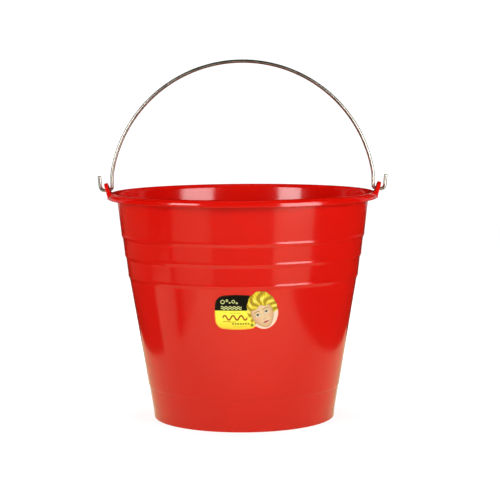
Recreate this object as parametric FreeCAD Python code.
import FreeCAD, Part
import math
import os

# Wash bucket of about ten litres. A tub moulded in one piece with its rolled lip, stepped wall, foot and two
# leaning ears; a bail bent from one wire, whose hooks turn in the ears; and a die-cut label on the front.
# Frame: the origin is the centre of the foot on the ground, +Z is up, the ears stand on the X axis and the
# label faces -Y. Lengths are in millimetres and angles in degrees.

# Tub
tub_height = 251.6  # ground to the crest of the lip
mouth_radius = 140.2  # outer face of the wall, carried up to the height of the crest
base_radius = 101.4  # outer face of the wall at the top of the foot
foot_height = 9.0
foot_draft = 0.8  # how far the foot draws in from there to the ground
foot_wall = 2.6
foot_edge = 0.6  # rounding of the foot's two edges on the ground
wall = 1.9
floor_wall = 2.4
floor_clearance = 6.0  # ground to the underside of the floor
floor_round = 9.0  # hollow rounding between floor and wall, inside
recess_round = 1.5  # hollow rounding between floor and foot, underneath
gate_radius = 4.0  # injection gate under the middle of the floor
gate_height = 0.8

# Wall: three ledges under the lip and a faint line round the base
upper_taper = 6.6  # slope of the wall down to the lowest ledge
ledge_drops = (47.1, 68.9, 92.1)  # crest down to the upper edge of each ledge
ledge_band = 2.2  # the wall stands upright for this height above each ledge
ledge_rise = 3.5
ledge_depth = 0.95  # how far a ledge steps in beyond the taper
ledge_round = 1.2
base_line_height = 37.0
base_line_rise = 1.4
base_line_depth = 0.45
base_line_round = 0.4

# Lip: a half-round bead with a skirt hanging from its outer side, hollow underneath
lip_overhang = 8.6  # mouth radius out to the face of the skirt
skirt_drop = 7.4  # crest down to the edge of the skirt
skirt_edge = 0.45  # rounding of the skirt's lower edge

# Ears
ear_thickness = 4.2
ear_lean = 18.0
ear_ring = 4.8  # width of the round head about the hole
ear_foot = 26.0  # width where the ear meets the lip
ear_edge = 0.8

# Bail
wire_radius = 1.9
hole_air = 1.3  # air round the wire in the ear's hole
bail_rest_gap = 0.5  # air between the lip's crest and the bail when it lies flat
leg_gap = 0.5  # least air between a leg and the ear beside it
belly = 1.6  # how much wider the arch is than its legs
arch_drop = 5.1  # height of the pivots above the centre of the arch
shoulder_round = 40.0
inner_bend = 1.4  # inside radius of the bend from the leg into the ear
outer_bend = 3.1  # inside radius of the bend from the ear up to the free end
pin_slope = 8.0  # how far the stretch in the ear falls outwards
hook_gap = 3.75  # air between the ear and the free end's foot
hook_height = 15.7  # pivots up to the tip
hook_lean = 5.0
tip_chamfer = 0.5

# Label: a badge with bowed edges, and a head that stands out past its right side
label_thickness = 0.2
label_gap = 0.8  # bare wall between the lowest ledge and the top of the head
badge_drop = 4.0  # top of the head down to the badge's
badge_left = -29.9
badge_width = 47.0
badge_height = 37.6
badge_bow = 2.0  # how far each edge of the badge bows out
badge_round = 6.5
head_across = 20.3  # middle of the head, from the front's centre line
head_height = 41.4
head_width = 32.6
head_tilt = 14.0  # the head's top leans towards the badge

# Fits that follow from the sizes above
foot_radius = base_radius - foot_draft
rim_radius = mouth_radius + lip_overhang
skirt_bottom = tub_height - skirt_drop
lean = math.radians(ear_lean)
pivot_height = tub_height + wire_radius + bail_rest_gap
ear_root = (pivot_height - skirt_bottom - ear_thickness / 2 * math.sin(lean)) / math.cos(lean)
pivot_reach = rim_radius - ear_thickness / 2 * math.cos(lean) + ear_root * math.sin(lean)
hole_radius = wire_radius + hole_air
ear_head = hole_radius + ear_ring
ear_inner_face = pivot_reach - ear_thickness / 2 / math.cos(lean)
ear_outer_face = pivot_reach + ear_thickness / 2 / math.cos(lean)
leg_reach = ear_inner_face - leg_gap - wire_radius / math.cos(lean)
hook_foot = ear_outer_face + hook_gap + wire_radius
label_top = tub_height - ledge_drops[-1] - ledge_rise - label_gap
up = FreeCAD.Vector(0, 0, 1)
across = FreeCAD.Vector(0, 1, 0)
outwards = FreeCAD.Vector(1, 0, 0)
centre = FreeCAD.Vector(0, 0, 0)


def rounded_path(corners, closed):
    """Edges in the XZ plane through (x, z, rounding) corners, each corner cut by its own arc."""
    points = [FreeCAD.Vector(x, 0, z) for x, z, _ in corners]
    count = len(points)
    starts = []
    ends = []
    arcs = []
    for i, (_, _, rounding) in enumerate(corners):
        here = points[i]
        starts.append(here)
        ends.append(here)
        arcs.append(None)
        if rounding == 0:
            continue
        back = (points[i - 1] - here).normalize()
        ahead = (points[(i + 1) % count] - here).normalize()
        half = back.getAngle(ahead) / 2
        starts[i] = here + back * (rounding / math.tan(half))
        ends[i] = here + ahead * (rounding / math.tan(half))
        inward = (back + ahead).normalize()
        middle = here + inward * (rounding / math.sin(half) - rounding)
        arcs[i] = Part.Arc(starts[i], middle, ends[i]).toShape()
    edges = []
    for i in range(count):
        if arcs[i]:
            edges.append(arcs[i])
        following = (i + 1) % count
        if closed or following:
            edges.append(Part.LineSegment(ends[i], starts[following]).toShape())
    return edges


def revolved(corners):
    """Solid turned about the Z axis from a closed outline of (radius, height, rounding) corners."""
    face = Part.Face(Part.Wire(rounded_path(corners, True)))
    return face.revolve(centre, up, 360)


def outer_wall():
    """Outer face of the wall as (radius, height, rounding) corners, from the foot up to the top ledge."""
    slope = math.tan(math.radians(upper_taper))
    corners = []
    for ledges_above, drop in enumerate(ledge_drops):
        edge_radius = mouth_radius - drop * slope - ledges_above * ledge_depth
        edge_height = tub_height - drop
        foot = edge_radius - ledge_rise * slope - ledge_depth
        band_radius = edge_radius + ledge_band * slope
        corners.append((band_radius, edge_height + ledge_band, ledge_round))
        corners.append((band_radius, edge_height, ledge_round))
        corners.append((foot, edge_height - ledge_rise, ledge_round))
    cone_top, cone_height, _ = corners[-1]
    fall = (cone_top - base_line_depth - base_radius) / (cone_height - foot_height)
    line_radius = cone_top - (cone_height - base_line_height) * fall
    corners.append((line_radius, base_line_height, base_line_round))
    line_foot = line_radius - base_line_rise * fall - base_line_depth
    corners.append((line_foot, base_line_height - base_line_rise, base_line_round))
    corners.append((base_radius, foot_height, 0))
    return corners[::-1]


def tub_shell():
    """The turned tub: foot, floor, stepped wall and rolled lip, all of one moulding."""
    outside = outer_wall()
    slope = math.tan(math.radians(upper_taper))
    channel_top = tub_height - wall
    channel_inner = mouth_radius - wall * slope
    skirt_inner = rim_radius - wall
    bead_round = (rim_radius - mouth_radius + wall) / 2
    channel_round = (skirt_inner - channel_inner) / 2
    floor_top = floor_clearance + floor_wall
    floor_edge = foot_radius + (base_radius - foot_radius) * floor_top / foot_height - wall
    corners = [
        (0, floor_clearance, 0),
        (foot_radius - foot_wall, floor_clearance, recess_round),
        (foot_radius - foot_wall, 0, foot_edge),
        (foot_radius, 0, foot_edge),
        *outside,
        (channel_inner, channel_top, channel_round),
        (skirt_inner, channel_top, channel_round),
        (skirt_inner, skirt_bottom, skirt_edge),
        (rim_radius, skirt_bottom, skirt_edge),
        (rim_radius, tub_height, bead_round),
        (mouth_radius - wall, tub_height, bead_round),
        *[(radius - wall, height, rounding) for radius, height, rounding in outside[:0:-1]],
        (floor_edge, floor_top, floor_round),
        (0, floor_top, 0),
    ]
    gate_foot = FreeCAD.Vector(0, 0, floor_clearance - gate_height)
    gate = Part.makeCylinder(gate_radius, gate_height + floor_wall / 2, gate_foot)
    return revolved(corners).fuse(gate)


def ear():
    """The ear on the +X side: a leaning plate with a round head, softened edges and a level hole."""
    half_foot = ear_foot / 2
    reach = math.hypot(half_foot, ear_root)
    touch = math.atan2(-ear_root, half_foot) + math.acos(ear_head / reach)
    root_right = FreeCAD.Vector(0, half_foot, -ear_root)
    root_left = FreeCAD.Vector(0, -half_foot, -ear_root)
    head_right = FreeCAD.Vector(0, ear_head * math.cos(touch), ear_head * math.sin(touch))
    head_left = FreeCAD.Vector(0, -head_right.y, head_right.z)
    outline = Part.Wire([
        Part.LineSegment(root_right, head_right).toShape(),
        Part.Arc(head_right, FreeCAD.Vector(0, 0, ear_head), head_left).toShape(),
        Part.LineSegment(head_left, root_left).toShape(),
        Part.LineSegment(root_left, root_right).toShape(),
    ])
    plate = Part.Face(outline).extrude(FreeCAD.Vector(ear_thickness, 0, 0))
    boxes = [(edge, edge.BoundBox) for edge in plate.Edges]
    rims = [edge for edge, box in boxes if box.XLength < ear_edge and box.ZMax > -ear_root / 2]
    plate = plate.makeFillet(ear_edge, rims)
    plate.translate(FreeCAD.Vector(-ear_thickness / 2, 0, 0))
    plate.rotate(centre, across, ear_lean)
    plate.translate(FreeCAD.Vector(pivot_reach, 0, pivot_height))
    hole_start = FreeCAD.Vector(pivot_reach - ear_thickness, 0, pivot_height)
    return plate.cut(Part.makeCylinder(hole_radius, 2 * ear_thickness, hole_start, outwards))


def tub():
    """The whole moulding: the turned tub with an ear fused to each side of its lip."""
    right = ear()
    left = right.mirror(centre, outwards)
    return tub_shell().fuse([right, left]).removeSplitter()


def bail():
    """The bent wire: hook, leg, shoulder and arch, and the same on the other side."""
    arch_centre = pivot_height - arch_drop
    arch_radius = leg_reach + belly
    slope = math.tan(math.radians(pin_slope))
    hook_slope = math.tan(math.radians(hook_lean))
    inner_height = pivot_height + (pivot_reach - leg_reach) * slope
    outer_height = pivot_height - (hook_foot - pivot_reach) * slope
    tip_height = pivot_height + hook_height
    tip_reach = hook_foot + (tip_height - outer_height) * hook_slope
    shoulder_x = leg_reach - shoulder_round
    spread = arch_radius - shoulder_round
    shoulder_z = arch_centre + math.sqrt(spread**2 - shoulder_x**2)
    lift = math.atan2(shoulder_z - arch_centre, shoulder_x)
    arch_end = FreeCAD.Vector(arch_radius * math.cos(lift), 0, arch_centre + arch_radius * math.sin(lift))
    shoulder_end = FreeCAD.Vector(leg_reach, 0, shoulder_z)
    shoulder_middle = FreeCAD.Vector(
        shoulder_x + shoulder_round * math.cos(lift / 2), 0, shoulder_z + shoulder_round * math.sin(lift / 2)
    )
    corners = [
        (tip_reach, tip_height, 0),
        (hook_foot, outer_height, wire_radius + outer_bend),
        (leg_reach, inner_height, wire_radius + inner_bend),
        (shoulder_end.x, shoulder_end.z, 0),
    ]
    shoulder = Part.Arc(shoulder_end, shoulder_middle, arch_end).toShape()
    half = Part.Wire([*rounded_path(corners, False), shoulder])
    arch_start = FreeCAD.Vector(-arch_end.x, 0, arch_end.z)
    arch = Part.Arc(arch_end, FreeCAD.Vector(0, 0, arch_centre + arch_radius), arch_start).toShape()
    other_half = half.mirror(centre, outwards)
    path = Part.Wire([*half.Edges, arch, *other_half.Edges[::-1]])
    tip = FreeCAD.Vector(tip_reach, 0, tip_height)
    axis = FreeCAD.Vector(hook_slope, 0, 1)
    section = Part.Wire(Part.makeCircle(wire_radius, tip, axis))
    wire = path.makePipeShell([section], True, False)
    boxes = [(edge, edge.BoundBox) for edge in wire.Edges]
    at_tips = [edge for edge, box in boxes if box.ZLength < wire_radius and abs(box.Center.x) > hook_foot]
    return wire.makeChamfer(tip_chamfer, at_tips)


def badge_prism():
    """The badge's outline carried through the front of the tub: four bowed sides with rounded corners."""
    top = label_top - badge_drop
    middle = FreeCAD.Vector(badge_left + badge_width / 2, 0, top - badge_height / 2)
    corners = []
    bulges = []
    for side in range(4):
        turn = math.radians(90 * side)
        ahead = FreeCAD.Vector(math.cos(turn), 0, math.sin(turn))
        aside = FreeCAD.Vector(-math.sin(turn), 0, math.cos(turn))
        reach, half_side = (badge_width / 2, badge_height / 2)[:: 1 - 2 * (side % 2)]
        bulges.append(middle + ahead * reach)
        corners.append(middle + ahead * (reach - badge_bow) - aside * (half_side - badge_bow))
    sides = [Part.Arc(corners[i], bulges[i], corners[(i + 1) % 4]).toShape() for i in range(4)]
    prism = Part.Face(Part.Wire(sides)).extrude(across * -rim_radius)
    uprights = [edge for edge in prism.Edges if edge.BoundBox.YLength > rim_radius / 2]
    return prism.makeFillet(badge_round, uprights)


def head_prism():
    """The head's outline carried through the front of the tub: a tilted ellipse."""
    tilt = math.radians(head_tilt)
    reach = math.hypot(head_height / 2 * math.cos(tilt), head_width / 2 * math.sin(tilt))
    middle = FreeCAD.Vector(head_across, 0, label_top - reach)
    long_axis = FreeCAD.Vector(-math.sin(tilt), 0, math.cos(tilt))
    short_axis = FreeCAD.Vector(math.cos(tilt), 0, math.sin(tilt))
    long_end = middle + long_axis * (head_height / 2)
    short_end = middle + short_axis * (head_width / 2)
    ellipse = Part.Ellipse(long_end, short_end, middle)
    return Part.Face(Part.Wire(ellipse.toShape())).extrude(across * -rim_radius)


def label():
    """The sticker: a skin on the wall's lower cone, cut to the outline of the badge and the head."""
    low, high = [(radius, height) for radius, height, _ in outer_wall()][2:4]
    skin = revolved([
        (low[0], low[1], 0),
        (low[0] + label_thickness, low[1], 0),
        (high[0] + label_thickness, high[1], 0),
        (high[0], high[1], 0),
    ])
    return skin.common(badge_prism().fuse(head_prism()))


shapes = {
    "bucket_tub": tub(),
    "wire_bail": bail(),
    "label": label(),
}
os.makedirs("parts", exist_ok=True)
for name, shape in shapes.items():
    shape.Solids[0].exportStep(f"parts/{name}.step")
    print(name, len(shape.Solids), "solid", shape.isValid(), round(shape.Volume), "mm3")
